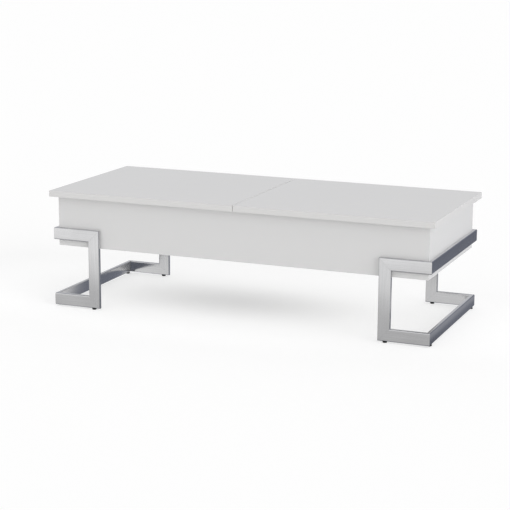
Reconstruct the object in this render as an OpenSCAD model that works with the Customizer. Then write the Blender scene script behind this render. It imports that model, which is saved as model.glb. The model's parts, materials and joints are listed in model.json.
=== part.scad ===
// Lift top coffee table: a case on two steel leg frames, closed by two lacquered
// top halves. Each half rises and comes forward on a pair of sprung parallel arms.
// Millimetres. X runs along the table, Y from the front to the back, Z up.
// The origin is on the floor under the middle of the table.

/* [Overall] */
// Length over the two top halves
table_l = 1193.8; // [960:0.1:1600]
// Depth over the top, front to back
table_w = 508; // [420:0.1:800]
// Height of the top surface above the floor
table_h = 355.6; // [290:0.1:560]

/* [Top] */
// Thickness of the top halves
top_t = 18; // [15:0.5:30]
// Width of the seam between the two halves
seam_gap = 2; // [1:0.1:5]
// How far the top reaches past the outside of the steel frames
top_reveal = 8.5; // [2:0.1:30]

/* [Case] */
// Height of the case panels
case_h = 148.5; // [120:0.1:200]
// Thickness of the four outer case panels
board_t = 16; // [14:0.5:22]
// Thickness of the centre divider
divider_t = 18; // [18:0.5:25]
// Thickness of the case floor
floor_t = 9; // [5:0.5:16]
// Height of the case floor's underside above the panels' lower edges
floor_rise = 8; // [3:0.5:14]
// Depth of the grooves that hold the floor
groove_d = 6; // [3:0.5:8]
// Depth of the housings that hold the divider's ends
housing_d = 4; // [2:0.5:8]
// Thickness of the splines inside the mitred corners
spline_t = 4; // [3:0.5:5]
// Width of the splines inside the mitred corners
spline_w = 12; // [8:0.5:13]
// Height of the soft bumpers under the closed top
bumper_h = 1.5; // [1:0.1:3]
// Radius of the soft bumpers
bumper_r = 5; // [3:0.5:7]
// Distance of the outer bumpers from the case ends, and of the inner ones from the divider
bumper_inset = 60; // [30:1:120]

/* [Leg frames] */
// Wide side of the steel tube
tube_face = 36.5; // [25:0.1:50]
// Narrow side of the steel tube
tube_depth = 12; // [10:0.1:25]
// Wall of the steel tube
tube_wall = 1.5; // [1:0.1:2.5]
// Outer corner radius of the steel tube
tube_r = 2; // [1:0.1:3]
// Length of the short front and rear bars, along the table
return_l = 152; // [100:1:240]
// Height of the upper bars' underside above the case's lower edge
rail_rise = 19; // [8:0.5:30]
// Height of the feet
foot_h = 4.5; // [3:0.5:12]
// Radius of the feet
foot_r = 6.5; // [5:0.1:10]
// Distance of each foot's centre from the end of its bar
foot_inset = 21.5; // [20:0.5:40]
// Bevel round the underside of the feet
foot_bevel = 1; // [0.3:0.1:2]
// Radius of the stem that holds each foot in the tube
stem_r = 3; // [2:0.1:4]
// Length of the stem that holds each foot in the tube
stem_l = 6; // [4:0.5:7]
// Shank radius of the bolts that hold the frames to the case
bolt_r = 3; // [2:0.1:4]
// Head radius of the frame bolts
bolt_head_r = 6; // [5:0.1:8]
// Head height of the frame bolts
bolt_head_h = 4; // [2:0.1:5]
// Distance of the end bolts from the case's front and back faces
bolt_inset = 45; // [30:1:80]
// Distance of the outer front and rear bolts from the case's inner corners
bolt_corner = 18; // [12:1:40]

/* [Lift units] */
// Length of the arms between their pivots
arm_l = 230; // [180:1:290]
// Width of the main arm
arm_w = 22; // [18:0.5:28]
// Width of the main arm's crank
crank_w = 15; // [12:0.5:18]
// Width of the follower arm
follower_w = 20; // [16:0.5:24]
// Thickness of the arms
arm_t = 3; // [2:0.1:4]
// Angle from closed to fully raised
lift_max = 115; // [90:1:118]
// Distance of the main pivots below the case's upper edge
pivot_drop = 64; // [60:0.5:70]
// How far the follower's pivots lie in front of the main ones
link_forward = 60; // [50:0.5:70]
// How far the follower's pivots lie above the main ones
link_up = 35; // [30:0.5:38]
// Thickness of the base plates and top brackets
plate_t = 2.5; // [2:0.1:4]
// Radius of the pivot rivets
rivet_r = 4; // [3:0.1:5]
// Radius of the pivot rivets' round heads
rivet_head_r = 8; // [6:0.1:9]
// Thickness of the pivot rivets' round heads
rivet_head_t = 1.8; // [1:0.1:2]
// Radius of the top rivets' formed tails
rivet_tail_r = 6.4; // [5:0.1:9]
// Thickness of the top rivets' formed tails
rivet_tail_t = 1.3; // [0.8:0.1:2]
// Thickness of the nylon washers at the pivots
washer_t = 1; // [0.5:0.1:2]
// Radius of the nylon washers
washer_r = 9; // [7:0.1:10]
// Clear space between the closed main arm and the spring's fixed pin below it
anchor_gap = 1; // [0.5:0.1:3]
// Length from the main pivot to the spring's fixed end
anchor_l = 115; // [105:1:118]
// Radius of the spring pins
spring_pin_r = 3; // [2.5:0.1:4]
// Radius of the waist in each spring pin, where the hook sits
waist_r = 2.1; // [1.5:0.1:2.4]
// Radius of the spring's outside
spring_r = 7; // [6:0.1:9]
// Wire radius of the spring
wire_r = 1; // [0.8:0.1:1.5]
// Distance of the cross bar from the main pivots, along the arms
bar_reach = 140; // [130:1:145]
// Radius of the cross bar
bar_r = 8; // [6:0.1:10]
// Wall of the cross bar
bar_wall = 1.5; // [1:0.1:3]
// Radius of the stop pins
stop_r = 4; // [3:0.1:5]
// Reach of the top bracket's flange from its panel
flange_reach = 34; // [30:0.5:45]
// Distance of the bracket screws from the flange's free edge
flange_margin = 10; // [6:0.5:12]
// Half width of the top bracket round its pivots
bracket_r = 14; // [11:0.5:18]

/* [Screws] */
// Shank radius of the countersunk screws
screw_r = 2; // [1.5:0.1:2.5]
// Head radius of the countersunk screws
screw_head_r = 4.2; // [3:0.1:5]
// How deep the base plate screws go into their panel
panel_bite = 8; // [6:0.5:8.5]
// How deep the bracket screws go into the top
top_bite = 11; // [8:0.5:12]

/* [Clearances] */
// Radial clearance of a pivot on its rivet
pivot_fit = 0.05; // [0.02:0.01:0.1]
// Radial clearance of the follower arm's upper pivot
loose_fit = 0.35; // [0.3:0.05:0.6]
// Side play between a moving arm and its neighbour
side_play = 0.1; // [0.1:0.05:0.4]
// Clearance of boards in grooves and of bolts and screws in their holes
shop_fit = 0.2; // [0.1:0.05:0.5]
// Clearance between spring hooks and their pins
hook_fit = 0.4; // [0.3:0.05:0.6]
// Gap left at each stop when the top is fully raised
stop_gap = 0.3; // [0.2:0.05:0.6]

/* [Hidden] */
$fn = 48;
eps = 1;
tangent_ease = 0.02;

// Heights
top_z = table_h - top_t;
case_top = top_z - bumper_h;
case_z = case_top - case_h;
floor_z = case_z + floor_rise;
floor_top = floor_z + floor_t;
rail_z = case_z + rail_rise;
rail_top = rail_z + tube_face;

// Plan of the case and of the leg frames
case_x = table_l / 2 - top_reveal - tube_depth;
case_y = table_w / 2 - top_reveal - tube_depth;
inner_x = case_x - board_t;
inner_y = case_y - board_t;
steel_x = case_x + tube_depth;
steel_y = case_y + tube_depth;
post_x = steel_x - return_l;
// Feet of the right frame: one under each post and one near each end of the end bar
foot_places = [
    for (y = [-1, 1]) each [
        [post_x + foot_inset, y * (steel_y - tube_depth / 2)],
        [steel_x - tube_depth / 2, y * (steel_y - foot_inset)],
    ]
];
bolt_z = rail_z + tube_face / 2;
bolt_l = board_t + tube_depth / 2;
bolt_xs = [post_x + tube_face + bolt_head_r, inner_x - bolt_corner];

// Lift unit: depth stations, counted from the panel that it is screwed to
arm_x0 = plate_t + washer_t + side_play;
arm_x1 = arm_x0 + arm_t;
bracket_x0 = arm_x1 + side_play + washer_t;
bracket_x1 = bracket_x0 + plate_t;
spring_x = bracket_x1 + spring_r;
spring_pin_end = spring_x + 3 * wire_r;
back_head_t = plate_t / 2;
pin_flange = 2;

// Lift unit: places in the [y, z] plane of the closed table
plate_front = link_forward + 32;
plate_back = anchor_l + 20;
plate_below = 27;
plate_above = link_up + 18;
window = [[35, 30], [90, 30]];
pivot_y = -(arm_l + bracket_r - plate_front) / 2;
pivot_z = case_top - pivot_drop;
main_pivot = [pivot_y, pivot_z];
link_pivot = main_pivot + [-link_forward, link_up];
main_tip = main_pivot + [arm_l, 0];
link_tip = link_pivot + [arm_l, 0];

// The spring lies level below the closed arm; its crank pin comes back to that level fully raised
spring_drop = arm_w / 2 + anchor_gap + spring_pin_r;
crank_l = spring_drop / cos(lift_max / 2);
crank_rest = -90 - lift_max / 2;
crank_pin = main_pivot + crank_l * [cos(crank_rest), sin(crank_rest)];
anchor_pin = [pivot_y + anchor_l, crank_pin[1]];
bar_at = main_pivot + [bar_reach, 0];
stop_lever = 25;
open_dir = [cos(lift_max), sin(lift_max)];
stop_pin = main_pivot + stop_lever * open_dir
    + (arm_w / 2 + stop_r + stop_gap) * [-open_dir[1], open_dir[0]];
plate_edge = 10;
plate_screws = [
    for (y = [plate_edge - plate_front, plate_back - plate_edge])
        for (z = [plate_edge - plate_below, plate_above - plate_edge]) main_pivot + [y, z]
];
bracket_edge = 2;
bracket_front = link_tip[0] - bracket_r - bracket_edge;
bracket_back = main_tip[0] + bracket_r + bracket_edge;
flange_screw_x = flange_reach - flange_margin;
flange_screw_ys = [bracket_front + plate_edge, (bracket_front + bracket_back) / 2, bracket_back - plate_edge];

steel = [0.78, 0.79, 0.80];
lacquer = [0.95, 0.95, 0.96];
raw_board = [0.90, 0.90, 0.90];
zinc = [0.66, 0.68, 0.70];
black = [0.10, 0.10, 0.11];
dark_steel = [0.22, 0.23, 0.25];
nylon = [0.92, 0.92, 0.88];

// ---- Shared shapes ----

// A rectangle with round corners, centred
module rounded_rect(w, h, r) {
    square([w - 2 * r, h], center = true);
    square([w, h - 2 * r], center = true);
    for (x = [-1, 1], y = [-1, 1])
        translate([x * (w / 2 - r), y * (h / 2 - r)]) circle(r = r);
}

// A straight strip with round ends at p and q; its sides lie a hair inside the ends' tangents
module strip(p, q, r) {
    run = q - p;
    half_w = r - tangent_ease;
    translate(p) {
        circle(r = r);
        rotate(atan2(run[1], run[0])) translate([0, -half_w]) square([norm(run), 2 * half_w]);
    }
    translate(q) circle(r = r);
}

// The steel tube's section, wide along its own first axis
module tube_section() {
    difference() {
        rounded_rect(tube_face, tube_depth, tube_r);
        square([tube_face - 2 * tube_wall, tube_depth - 2 * tube_wall], center = true);
    }
}

// A profile drawn in [y, z], from x0 to x1
module plate_x(x0, x1) {
    translate([x0, 0, 0]) rotate([90, 0, 90]) linear_extrude(x1 - x0) children();
}

// A round bar along X through the point [y, z]
module rod_x(p, r, x0, x1) {
    translate([x0, p[0], p[1]]) rotate([0, 90, 0]) cylinder(r = r, h = x1 - x0);
}

// A countersunk screw along Z: head face at 0, pointing up
module screw(bite, grow = 0) {
    head_h = screw_head_r - screw_r;
    cylinder(r1 = screw_head_r + grow, r2 = screw_r + grow, h = head_h);
    cylinder(r = screw_r + grow, h = plate_t + bite + grow);
}

// Puts a lift unit on its panel: side -1 left, 1 right; on the case end or on the divider
module unit(side, outer) {
    if (outer) translate([side * inner_x, 0, 0]) turned(side > 0) children();
    else translate([side * divider_t / 2, 0, 0]) turned(side < 0) children();
}

module turned(flip) {
    if (flip) mirror([1, 0, 0]) children();
    else children();
}

// Puts a left or a right copy of what is drawn at the right end
module at_end(side) {
    turned(side < 0) children();
}

// ---- Leg frames ----

// What is left of a bar between the mitres: the two short bars' plan
module return_plan() {
    translate([0, 0, -eps]) linear_extrude(table_h) polygon([
        [post_x - eps, -steel_y - eps],
        [steel_x + eps, -steel_y - eps],
        [steel_x - tube_depth - eps, -steel_y + tube_depth + eps],
        [post_x - eps, -steel_y + tube_depth + eps],
    ]);
}

// The same in elevation, with the bar's outer edge at z and its inner edge up or down
module return_elevation(z, up) {
    translate([0, -steel_y + tube_depth + eps, 0]) rotate([90, 0, 0])
        linear_extrude(tube_depth + 2 * eps) polygon([
            [post_x - eps, z - up * eps],
            [steel_x + eps, z - up * eps],
            [steel_x + eps, z + up * (tube_face + eps)],
            [post_x + tube_face + eps, z + up * (tube_face + eps)],
        ]);
}

// Front short bar of the right frame, with its outer edge at z
module return_bar(z, up) {
    color(steel) intersection() {
        translate([post_x, -steel_y + tube_depth / 2, z + up * tube_face / 2])
            rotate([90, 0, 90]) linear_extrude(return_l) rotate(90) tube_section();
        return_plan();
        return_elevation(z, up);
    }
}

// End bar of the right frame, centred on the height z
module end_bar(z) {
    color(steel) intersection() {
        translate([steel_x - tube_depth / 2, -steel_y, z])
            rotate([-90, 0, 0]) linear_extrude(2 * steel_y) rotate(90) tube_section();
        translate([0, 0, -eps]) linear_extrude(table_h) polygon([
            [steel_x + eps, -steel_y - eps],
            [steel_x + eps, steel_y + eps],
            [steel_x - tube_depth - eps, steel_y - tube_depth - eps],
            [steel_x - tube_depth - eps, -steel_y + tube_depth + eps],
        ]);
    }
}

module upper_bolt_holes() {
    for (x = bolt_xs) translate([x, -case_y + eps, bolt_z])
        rotate([90, 0, 0]) cylinder(r = bolt_r + shop_fit, h = eps + tube_depth / 2);
}

module upper_return() {
    difference() {
        return_bar(rail_top, -1);
        upper_bolt_holes();
    }
}

module foot_holes() {
    for (p = foot_places) translate([p[0], p[1], foot_h - eps])
        cylinder(r = stem_r + shop_fit, h = tube_wall + 2 * eps);
}

module lower_return() {
    difference() {
        return_bar(foot_h, 1);
        foot_holes();
    }
}

module lower_end_bar() {
    difference() {
        end_bar(foot_h + tube_face / 2);
        foot_holes();
    }
}

module upper_end_bar() {
    difference() {
        end_bar(bolt_z);
        for (side = [-1, 1]) translate([case_x - eps, side * (case_y - bolt_inset), bolt_z])
            rotate([0, 90, 0]) cylinder(r = bolt_r + shop_fit, h = eps + tube_depth / 2);
    }
}

module front_post() {
    color(steel) intersection() {
        translate([post_x + tube_face / 2, -steel_y + tube_depth / 2, foot_h])
            linear_extrude(rail_top - foot_h) tube_section();
        translate([0, -steel_y + tube_depth + eps, 0]) rotate([90, 0, 0])
            linear_extrude(tube_depth + 2 * eps) polygon([
                [post_x - eps, foot_h - eps],
                [post_x + tube_face + eps, foot_h + tube_face + eps],
                [post_x + tube_face + eps, rail_top - tube_face - eps],
                [post_x - eps, rail_top + eps],
            ]);
    }
}

module feet() {
    color(black) for (p = foot_places) translate(p) {
        cylinder(r1 = foot_r - foot_bevel, r2 = foot_r, h = foot_bevel);
        translate([0, 0, foot_bevel]) cylinder(r = foot_r, h = foot_h - foot_bevel);
        translate([0, 0, foot_h]) cylinder(r = stem_r, h = stem_l);
    }
}

module left_upper_end_bar() at_end(-1) upper_end_bar();
module left_upper_front_bar() at_end(-1) upper_return();
module left_upper_rear_bar() at_end(-1) mirror([0, 1, 0]) upper_return();
module left_lower_end_bar() at_end(-1) lower_end_bar();
module left_lower_front_bar() at_end(-1) lower_return();
module left_lower_rear_bar() at_end(-1) mirror([0, 1, 0]) lower_return();
module left_front_post() at_end(-1) front_post();
module left_rear_post() at_end(-1) mirror([0, 1, 0]) front_post();
module left_feet() at_end(-1) feet();
module right_upper_end_bar() upper_end_bar();
module right_upper_front_bar() upper_return();
module right_upper_rear_bar() mirror([0, 1, 0]) upper_return();
module right_lower_end_bar() lower_end_bar();
module right_lower_front_bar() lower_return();
module right_lower_rear_bar() mirror([0, 1, 0]) lower_return();
module right_front_post() front_post();
module right_rear_post() mirror([0, 1, 0]) front_post();
module right_feet() feet();

// A bolt along its own Z: washer face at 0, shank up
module frame_bolt() {
    translate([0, 0, -bolt_head_h]) cylinder(r = bolt_head_r, h = bolt_head_h);
    cylinder(r = bolt_r, h = bolt_l);
}

// Bolts from inside the case through the panels into the upper bars
module frame_bolts() {
    color(zinc) for (side = [-1, 1]) at_end(side) {
        for (x = bolt_xs, back = [0, 1]) mirror([0, back, 0])
            translate([x, -inner_y, bolt_z]) rotate([90, 0, 0]) frame_bolt();
        for (y = [-1, 1]) translate([inner_x, y * (case_y - bolt_inset), bolt_z])
            rotate([0, 90, 0]) frame_bolt();
    }
}

// ---- Case ----

// Splines let into the mitre faces, or the slots cut for them
module splines(grow) {
    z0 = case_z + board_t / 2;
    for (x = [-1, 1], y = [-1, 1])
        translate([x * (case_x - board_t / 2), y * (case_y - board_t / 2), z0 - grow])
            rotate(x * y * 45) translate([-spline_t / 2 - grow, -spline_w / 2 - grow, 0])
                cube([spline_t + 2 * grow, spline_w + 2 * grow, case_h - board_t + 2 * grow]);
}

// The floor, or with grow the groove that it sits in; it rests on the groove's lower side
module floor_board(grow) {
    reach = groove_d - shop_fit + grow;
    translate([-inner_x - reach, -inner_y - reach, floor_z])
        cube([2 * (inner_x + reach), 2 * (inner_y + reach), floor_t + grow]);
}

module divider_board(grow) {
    reach = housing_d - shop_fit + grow;
    translate([-divider_t / 2 - grow, -inner_y - reach, floor_top - (grow > 0 ? eps : 0)])
        cube([divider_t + 2 * grow, 2 * (inner_y + reach), case_top - floor_top + (grow > 0 ? 2 * eps : 0)]);
}

module case_front() {
    color(lacquer) difference() {
        translate([0, 0, case_z]) linear_extrude(case_h) polygon([
            [-case_x, -case_y], [case_x, -case_y], [inner_x, -inner_y], [-inner_x, -inner_y],
        ]);
        floor_board(shop_fit);
        divider_board(shop_fit);
        splines(shop_fit);
        for (side = [-1, 1], x = bolt_xs) translate([side * x, -inner_y + eps, bolt_z])
            rotate([90, 0, 0]) cylinder(r = bolt_r + shop_fit, h = board_t + 2 * eps);
    }
}

module case_right_end() {
    color(lacquer) difference() {
        translate([0, 0, case_z]) linear_extrude(case_h) polygon([
            [case_x, -case_y], [case_x, case_y], [inner_x, inner_y], [inner_x, -inner_y],
        ]);
        floor_board(shop_fit);
        splines(shop_fit);
        for (side = [-1, 1]) translate([inner_x - eps, side * (case_y - bolt_inset), bolt_z])
            rotate([0, 90, 0]) cylinder(r = bolt_r + shop_fit, h = board_t + 2 * eps);
        unit(1, true) plate_screw_holes();
    }
}

module case_back() mirror([0, 1, 0]) case_front();
module case_left_end() mirror([1, 0, 0]) case_right_end();

module case_divider() {
    color(raw_board) difference() {
        divider_board(0);
        for (side = [-1, 1]) unit(side, false) plate_screw_holes();
    }
}

module case_floor() color(raw_board) floor_board(0);
module corner_splines() color(raw_board) splines(0);

module top_bumpers() {
    xs = [divider_t / 2 + bumper_inset, case_x - bumper_inset];
    color(nylon) for (side = [-1, 1], x = xs, y = [-1, 1])
        translate([side * x, y * (case_y - board_t / 2), case_top]) cylinder(r = bumper_r, h = bumper_h);
}

// ---- Lift units: what is screwed to the case ----

module plate_screw_holes() {
    for (p = plate_screws) rod_x(p, screw_r + shop_fit, -panel_bite - shop_fit, eps);
}

module base_plate() {
    color(dark_steel) difference() {
        plate_x(0, plate_t) difference() {
            translate(main_pivot + [plate_back - plate_front, plate_above - plate_below] / 2)
                rounded_rect(plate_front + plate_back, plate_above + plate_below, plate_edge);
            strip(main_pivot + window[0], main_pivot + window[1], plate_edge);
        }
        for (p = [main_pivot, link_pivot]) {
            rod_x(p, rivet_r + pivot_fit, -eps, plate_t + eps);
            rod_x(p, rivet_head_r + pivot_fit, -eps, back_head_t);
        }
        rod_x(anchor_pin, spring_pin_r + pivot_fit, -eps, plate_t + eps);
        rod_x(anchor_pin, spring_pin_r + pin_flange + pivot_fit, -eps, back_head_t);
        rod_x(stop_pin, stop_r + pivot_fit, -eps, plate_t + eps);
        rod_x(stop_pin, stop_r + pin_flange + pivot_fit, -eps, back_head_t);
        for (p = plate_screws) translate([plate_t, p[0], p[1]]) rotate([0, -90, 0]) screw(eps, shop_fit);
    }
}

module left_outer_base_plate() unit(-1, true) base_plate();
module left_inner_base_plate() unit(-1, false) base_plate();
module right_outer_base_plate() unit(1, true) base_plate();
module right_inner_base_plate() unit(1, false) base_plate();

// Four like lift units: both ends and both faces of the divider
module each_unit() {
    for (side = [-1, 1], outer = [true, false]) unit(side, outer) children();
}

// The two lift units of one top half
module half_units(side) {
    for (outer = [true, false]) unit(side, outer) children();
}

module pivot_rivet(p, back_x, back_r, back_t, front_x, front_r, front_t) {
    rod_x(p, back_r, back_x, back_x + back_t);
    rod_x(p, rivet_r, back_x, front_x + front_t);
    rod_x(p, front_r, front_x, front_x + front_t);
}

module base_rivets() {
    color(zinc) each_unit() for (p = [main_pivot, link_pivot])
        pivot_rivet(p, 0, rivet_head_r, back_head_t, arm_x1 + side_play, rivet_head_r, rivet_head_t);
}

module washer(p, x0) {
    difference() {
        rod_x(p, washer_r, x0, x0 + washer_t);
        rod_x(p, rivet_r + shop_fit, x0 - eps, x0 + washer_t + eps);
    }
}

module base_washers() {
    color(nylon) each_unit() for (p = [main_pivot, link_pivot]) washer(p, plate_t);
}

// A round pin with a waist where the spring's hook sits
module spring_pin(p, x0) {
    rod_x(p, spring_pin_r, x0, spring_x - wire_r - shop_fit);
    rod_x(p, waist_r, x0, spring_pin_end);
    rod_x(p, spring_pin_r, spring_x + wire_r + shop_fit, spring_pin_end);
}

// Spring anchors and stop pins, riveted into the base plates
module base_plate_pins() {
    color(zinc) each_unit() {
        spring_pin(anchor_pin, 0);
        rod_x(anchor_pin, spring_pin_r + pin_flange, 0, back_head_t);
        rod_x(stop_pin, stop_r + pin_flange, 0, back_head_t);
        rod_x(stop_pin, stop_r, 0, arm_x1);
    }
}

module base_plate_screws() {
    color(zinc) each_unit() for (p = plate_screws)
        translate([plate_t, p[0], p[1]]) rotate([0, -90, 0]) screw(panel_bite);
}

// ---- Lift units: arms ----

// Main arm with the crank that the spring pulls
module main_arm() {
    color(dark_steel) {
        difference() {
            plate_x(arm_x0, arm_x1) {
                strip(main_pivot, main_tip, arm_w / 2);
                strip(main_pivot, crank_pin, crank_w / 2);
            }
            for (p = [main_pivot, main_tip]) rod_x(p, rivet_r + pivot_fit, arm_x0 - eps, arm_x1 + eps);
        }
        spring_pin(crank_pin, arm_x0);
    }
}

module follower_arm() {
    color(dark_steel) difference() {
        plate_x(arm_x0, arm_x1) strip(link_pivot, link_tip, follower_w / 2);
        rod_x(link_pivot, rivet_r + pivot_fit, arm_x0 - eps, arm_x1 + eps);
        rod_x(link_tip, rivet_r + loose_fit, arm_x0 - eps, arm_x1 + eps);
    }
}

// Tube welded between the two main arms of one top half
module cross_bar() {
    color(dark_steel) difference() {
        rod_x(bar_at, bar_r, divider_t / 2 + arm_x1, inner_x - arm_x1);
        rod_x(bar_at, bar_r - bar_wall, divider_t / 2 + arm_x1 - eps, inner_x - arm_x1 + eps);
    }
}

module left_outer_main_arm() unit(-1, true) main_arm();
module left_inner_main_arm() unit(-1, false) main_arm();
module right_outer_main_arm() unit(1, true) main_arm();
module right_inner_main_arm() unit(1, false) main_arm();
module left_cross_bar() at_end(-1) cross_bar();
module right_cross_bar() cross_bar();
module left_outer_follower_arm() unit(-1, true) follower_arm();
module left_inner_follower_arm() unit(-1, false) follower_arm();
module right_outer_follower_arm() unit(1, true) follower_arm();
module right_inner_follower_arm() unit(1, false) follower_arm();

// Extension spring between the crank pin and the anchor pin, with a ring hook at each end
module spring() {
    hook_r = waist_r + hook_fit + wire_r;
    coil_y0 = crank_pin[0] + hook_r + wire_r / 2;
    coil_y1 = anchor_pin[0] - hook_r - wire_r / 2;
    color(zinc) {
        for (p = [crank_pin, anchor_pin]) translate([spring_x, p[0], p[1]])
            rotate([0, 90, 0]) rotate_extrude() translate([hook_r, 0]) circle(r = wire_r);
        translate([spring_x, coil_y0, crank_pin[1]]) rotate([-90, 0, 0]) difference() {
            cylinder(r = spring_r, h = coil_y1 - coil_y0);
            translate([0, 0, wire_r]) cylinder(r = spring_r - 2 * wire_r, h = coil_y1 - coil_y0 - 2 * wire_r);
        }
    }
}

module left_springs() half_units(-1) spring();
module right_springs() half_units(1) spring();

// ---- Lift units: what is screwed under the top ----

module top_bracket() {
    color(dark_steel) difference() {
        union() {
            plate_x(bracket_x0, bracket_x1) {
                strip(link_tip, main_tip, bracket_r);
                polygon([
                    [bracket_front, top_z],
                    [bracket_front, link_tip[1] + bracket_edge],
                    [bracket_back, main_tip[1] + bracket_edge],
                    [bracket_back, top_z],
                ]);
            }
            translate([bracket_x0, bracket_front, top_z - plate_t])
                cube([flange_reach - bracket_x0, bracket_back - bracket_front, plate_t]);
        }
        for (p = [main_tip, link_tip]) rod_x(p, rivet_r + pivot_fit, bracket_x0 - eps, bracket_x1 + eps);
        for (y = flange_screw_ys) translate([flange_screw_x, y, top_z - plate_t]) screw(eps, shop_fit);
    }
}

module top_rivets() {
    color(zinc) for (p = [main_tip, link_tip])
        pivot_rivet(p, arm_x0 - side_play - rivet_head_t, rivet_head_r, rivet_head_t,
            bracket_x1, rivet_tail_r, rivet_tail_t);
}

module top_washers() {
    color(nylon) for (p = [main_tip, link_tip]) washer(p, bracket_x0 - washer_t);
}

module top_screws() {
    color(zinc) for (y = flange_screw_ys) translate([flange_screw_x, y, top_z - plate_t]) screw(top_bite);
}

// Right top half: a lacquered board with blind holes for the bracket screws
module top_half() {
    color(lacquer) difference() {
        translate([seam_gap / 2, -table_w / 2, top_z]) cube([(table_l - seam_gap) / 2, table_w, top_t]);
        half_units(1) for (y = flange_screw_ys) translate([flange_screw_x, y, top_z - eps])
            cylinder(r = screw_r + shop_fit, h = top_bite + eps + shop_fit);
    }
}

module left_top() mirror([1, 0, 0]) top_half();
module left_outer_top_bracket() unit(-1, true) top_bracket();
module left_inner_top_bracket() unit(-1, false) top_bracket();
module left_top_rivets() half_units(-1) top_rivets();
module left_top_washers() half_units(-1) top_washers();
module left_top_screws() half_units(-1) top_screws();
module right_top() top_half();
module right_outer_top_bracket() unit(1, true) top_bracket();
module right_inner_top_bracket() unit(1, false) top_bracket();
module right_top_rivets() half_units(1) top_rivets();
module right_top_washers() half_units(1) top_washers();
module right_top_screws() half_units(1) top_screws();

left_upper_end_bar();
left_upper_front_bar();
left_upper_rear_bar();
left_lower_end_bar();
left_lower_front_bar();
left_lower_rear_bar();
left_front_post();
left_rear_post();
left_feet();
right_upper_end_bar();
right_upper_front_bar();
right_upper_rear_bar();
right_lower_end_bar();
right_lower_front_bar();
right_lower_rear_bar();
right_front_post();
right_rear_post();
right_feet();
frame_bolts();
case_front();
case_back();
case_left_end();
case_right_end();
case_divider();
case_floor();
corner_splines();
top_bumpers();
left_outer_base_plate();
left_inner_base_plate();
right_outer_base_plate();
right_inner_base_plate();
base_rivets();
base_washers();
base_plate_pins();
base_plate_screws();
left_outer_main_arm();
left_inner_main_arm();
left_cross_bar();
right_outer_main_arm();
right_inner_main_arm();
right_cross_bar();
left_outer_follower_arm();
left_inner_follower_arm();
right_outer_follower_arm();
right_inner_follower_arm();
left_springs();
right_springs();
left_top();
left_outer_top_bracket();
left_inner_top_bracket();
left_top_rivets();
left_top_washers();
left_top_screws();
right_top();
right_outer_top_bracket();
right_inner_top_bracket();
right_top_rivets();
right_top_washers();
right_top_screws();
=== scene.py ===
"""A lift top coffee table: white lacquered case and two top halves on brushed steel leg frames.

Each section makes one kind of piece, in the order in which the table is put together. Metres throughout.
"""
import json
import math

import bmesh
import bpy
from mathutils import Matrix, Vector


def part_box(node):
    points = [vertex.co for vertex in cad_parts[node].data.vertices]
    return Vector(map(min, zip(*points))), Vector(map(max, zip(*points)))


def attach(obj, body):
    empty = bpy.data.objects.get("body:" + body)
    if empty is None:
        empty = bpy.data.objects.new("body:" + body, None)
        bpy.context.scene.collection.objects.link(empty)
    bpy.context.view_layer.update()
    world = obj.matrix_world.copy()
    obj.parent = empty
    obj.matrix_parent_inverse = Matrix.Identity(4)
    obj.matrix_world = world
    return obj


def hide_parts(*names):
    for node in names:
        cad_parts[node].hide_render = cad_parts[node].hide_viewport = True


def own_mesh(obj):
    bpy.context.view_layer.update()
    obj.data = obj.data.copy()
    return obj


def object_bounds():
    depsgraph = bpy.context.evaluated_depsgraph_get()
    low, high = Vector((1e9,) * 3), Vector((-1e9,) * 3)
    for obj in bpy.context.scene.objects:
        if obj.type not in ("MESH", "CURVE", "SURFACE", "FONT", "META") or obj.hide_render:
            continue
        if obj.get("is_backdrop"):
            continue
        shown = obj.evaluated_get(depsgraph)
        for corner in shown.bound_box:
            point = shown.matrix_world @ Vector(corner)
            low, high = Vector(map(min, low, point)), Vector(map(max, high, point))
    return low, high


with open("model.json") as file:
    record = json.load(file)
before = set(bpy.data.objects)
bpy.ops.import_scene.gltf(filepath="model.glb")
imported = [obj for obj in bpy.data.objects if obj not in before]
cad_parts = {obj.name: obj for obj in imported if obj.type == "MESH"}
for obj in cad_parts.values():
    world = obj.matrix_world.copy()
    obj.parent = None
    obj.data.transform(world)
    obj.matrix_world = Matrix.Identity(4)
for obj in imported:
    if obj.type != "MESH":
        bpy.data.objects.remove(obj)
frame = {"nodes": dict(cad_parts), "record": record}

cad_low, cad_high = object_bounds()


# ---------------------------------------------------------------------------------------------
# Leg frame tubes
# Two C-shaped frames, each of eight lengths of flat steel tube with 1.5 mm walls. The ends are mitred,
# welded and ground flush, then every length is brushed along its own run and left bright.

MM = 0.001
X, Y, Z = 0, 1, 2


def new_material(name):
    """A node material with its Principled shader and an Object coordinate to build patterns on."""
    material = bpy.data.materials.new(name)
    material.use_nodes = True
    tree = material.node_tree
    coords = tree.nodes.new("ShaderNodeTexCoord")
    return material, tree, tree.nodes["Principled BSDF"], coords.outputs["Object"]


def add_node(tree, kind, settings=None, **values):
    """Adds a node, sets its properties, and sets or links its inputs by name (spaces as _)."""
    node = tree.nodes.new(kind)
    for key, value in (settings or {}).items():
        setattr(node, key, value)
    for key, value in values.items():
        socket = node.inputs[int(key[1:]) if key[1:].isdigit() else key.replace("_", " ")]
        if isinstance(value, bpy.types.NodeSocket):
            tree.links.new(value, socket)
        else:
            socket.default_value = value
    return node


def math_node(tree, operation, *values):
    """The result of a Math node."""
    numbered = {f"_{i}": value for i, value in enumerate(values)}
    return add_node(tree, "ShaderNodeMath", {"operation": operation}, **numbered).outputs[0]


def mix_color(tree, share, first, second):
    """A blend of two colours."""
    return add_node(tree, "ShaderNodeMix", {"data_type": "RGBA"}, _0=share, _6=first, _7=second).outputs[2]


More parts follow.
